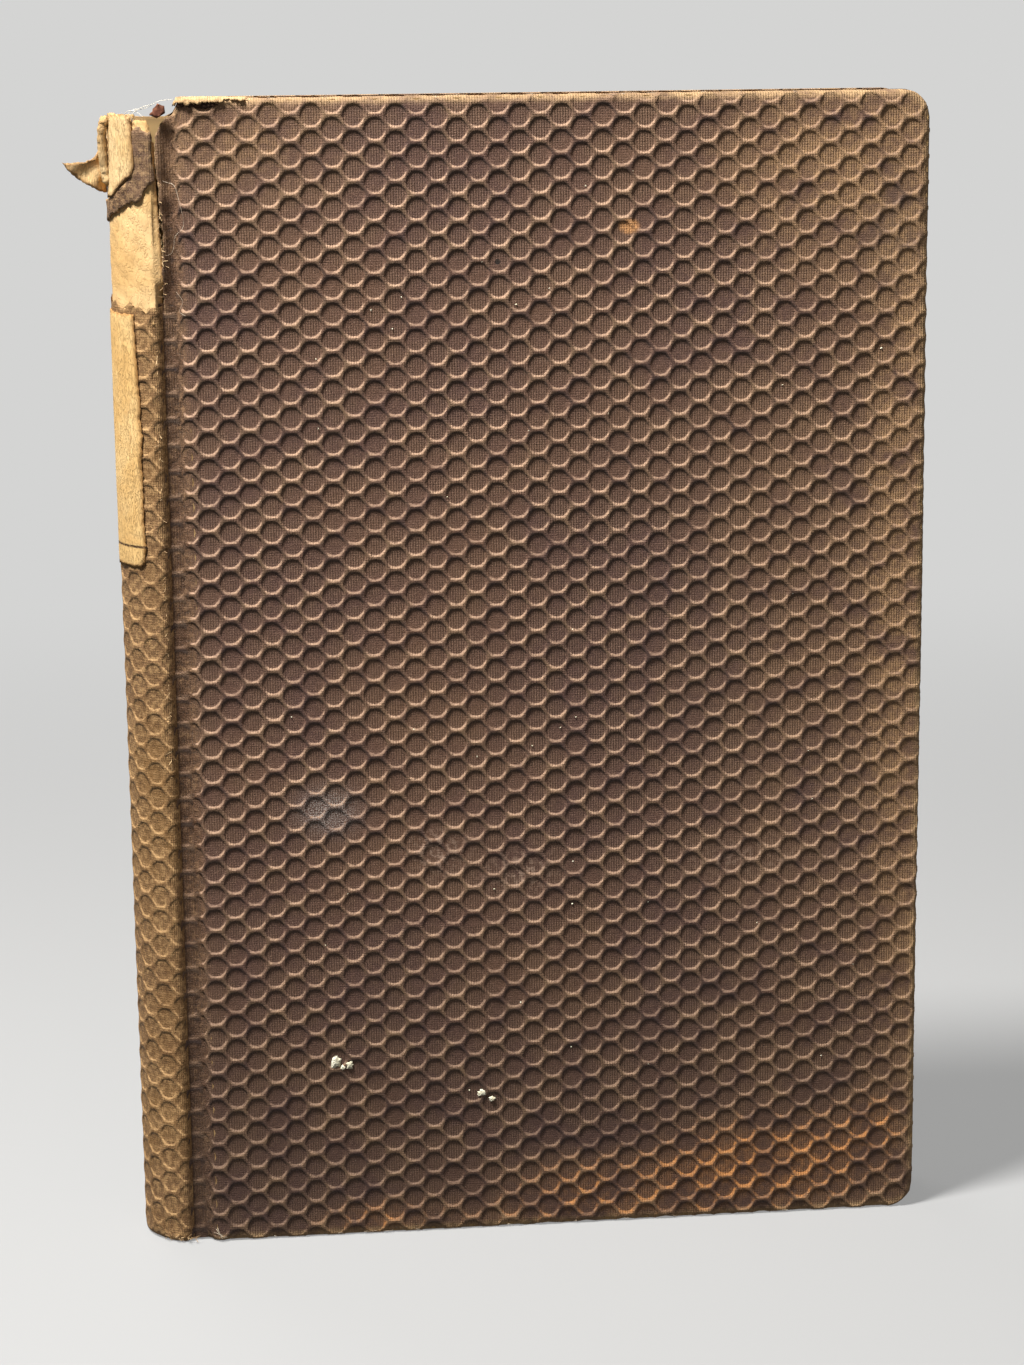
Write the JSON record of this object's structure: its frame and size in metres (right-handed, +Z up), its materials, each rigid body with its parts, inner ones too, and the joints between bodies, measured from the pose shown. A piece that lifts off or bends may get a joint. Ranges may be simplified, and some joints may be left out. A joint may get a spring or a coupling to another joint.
{
  "type": "hardback book",
  "caption": "Worn old cloth-bound hardback standing closed on its tail edge, with honeycomb-grain cloth, a round torn spine with a bare paper label and two covers that open.",
  "frame": {"origin": "bottom centre of the bounding box of the closed book standing on its tail edge", "axes": "+Z up towards the head, front cover faces -Y, spine at -X, fore-edge at +X"},
  "size_m": [0.137, 0.019, 0.188],
  "materials": {
    "book_cloth": "embossed cotton book cloth, rubbed",
    "spine_book_cloth": "faded book cloth, rubbed",
    "pasteboard": "dull grey-brown pasteboard",
    "spine_card": "brown card, creased",
    "endpaper": "matt, foxed",
    "pages": "matt, yellowed page edges",
    "lining_paper": "matt brown paper",
    "label_paper": "matt, darkened and cracked",
    "super": "open-weave cotton, glue-stained",
    "cord": "hemp cord"
  },
  "bodies": {
    "book_block": {"text_block": "pages", "front_flyleaf": "endpaper", "back_flyleaf": "endpaper", "sewing_cord_tail": "cord", "sewing_cord_middle": "cord", "sewing_cord_head": "cord", "spine_super": "super", "spine_paper_lining": "lining_paper", "spine_inlay": "spine_card", "spine_cloth": "spine_book_cloth", "head_cloth_scrap": "spine_book_cloth", "head_lining_strip": "lining_paper", "torn_lining_curl": "lining_paper", "paper_label": "label_paper"},
    "front_cover": {"front_board": "pasteboard", "front_cloth": "book_cloth", "front_super_wing": "super", "front_pastedown": "endpaper"},
    "back_cover": {"back_board": "pasteboard", "back_cloth": "book_cloth", "back_super_wing": "super", "back_pastedown": "endpaper"}
  },
  "joints": [
    {"name": "front_cover_hinge", "type": "hinge", "parent": "book_block", "child": "front_cover", "pos_m": [-0.0537, -0.00965, 0], "axis": [0, 0, -1], "range_deg": [0, 180]},
    {"name": "back_cover_hinge", "type": "hinge", "parent": "book_block", "child": "back_cover", "pos_m": [-0.0537, 0.00965, 0], "axis": [0, 0, 1], "range_deg": [0, 180]}
  ]
}
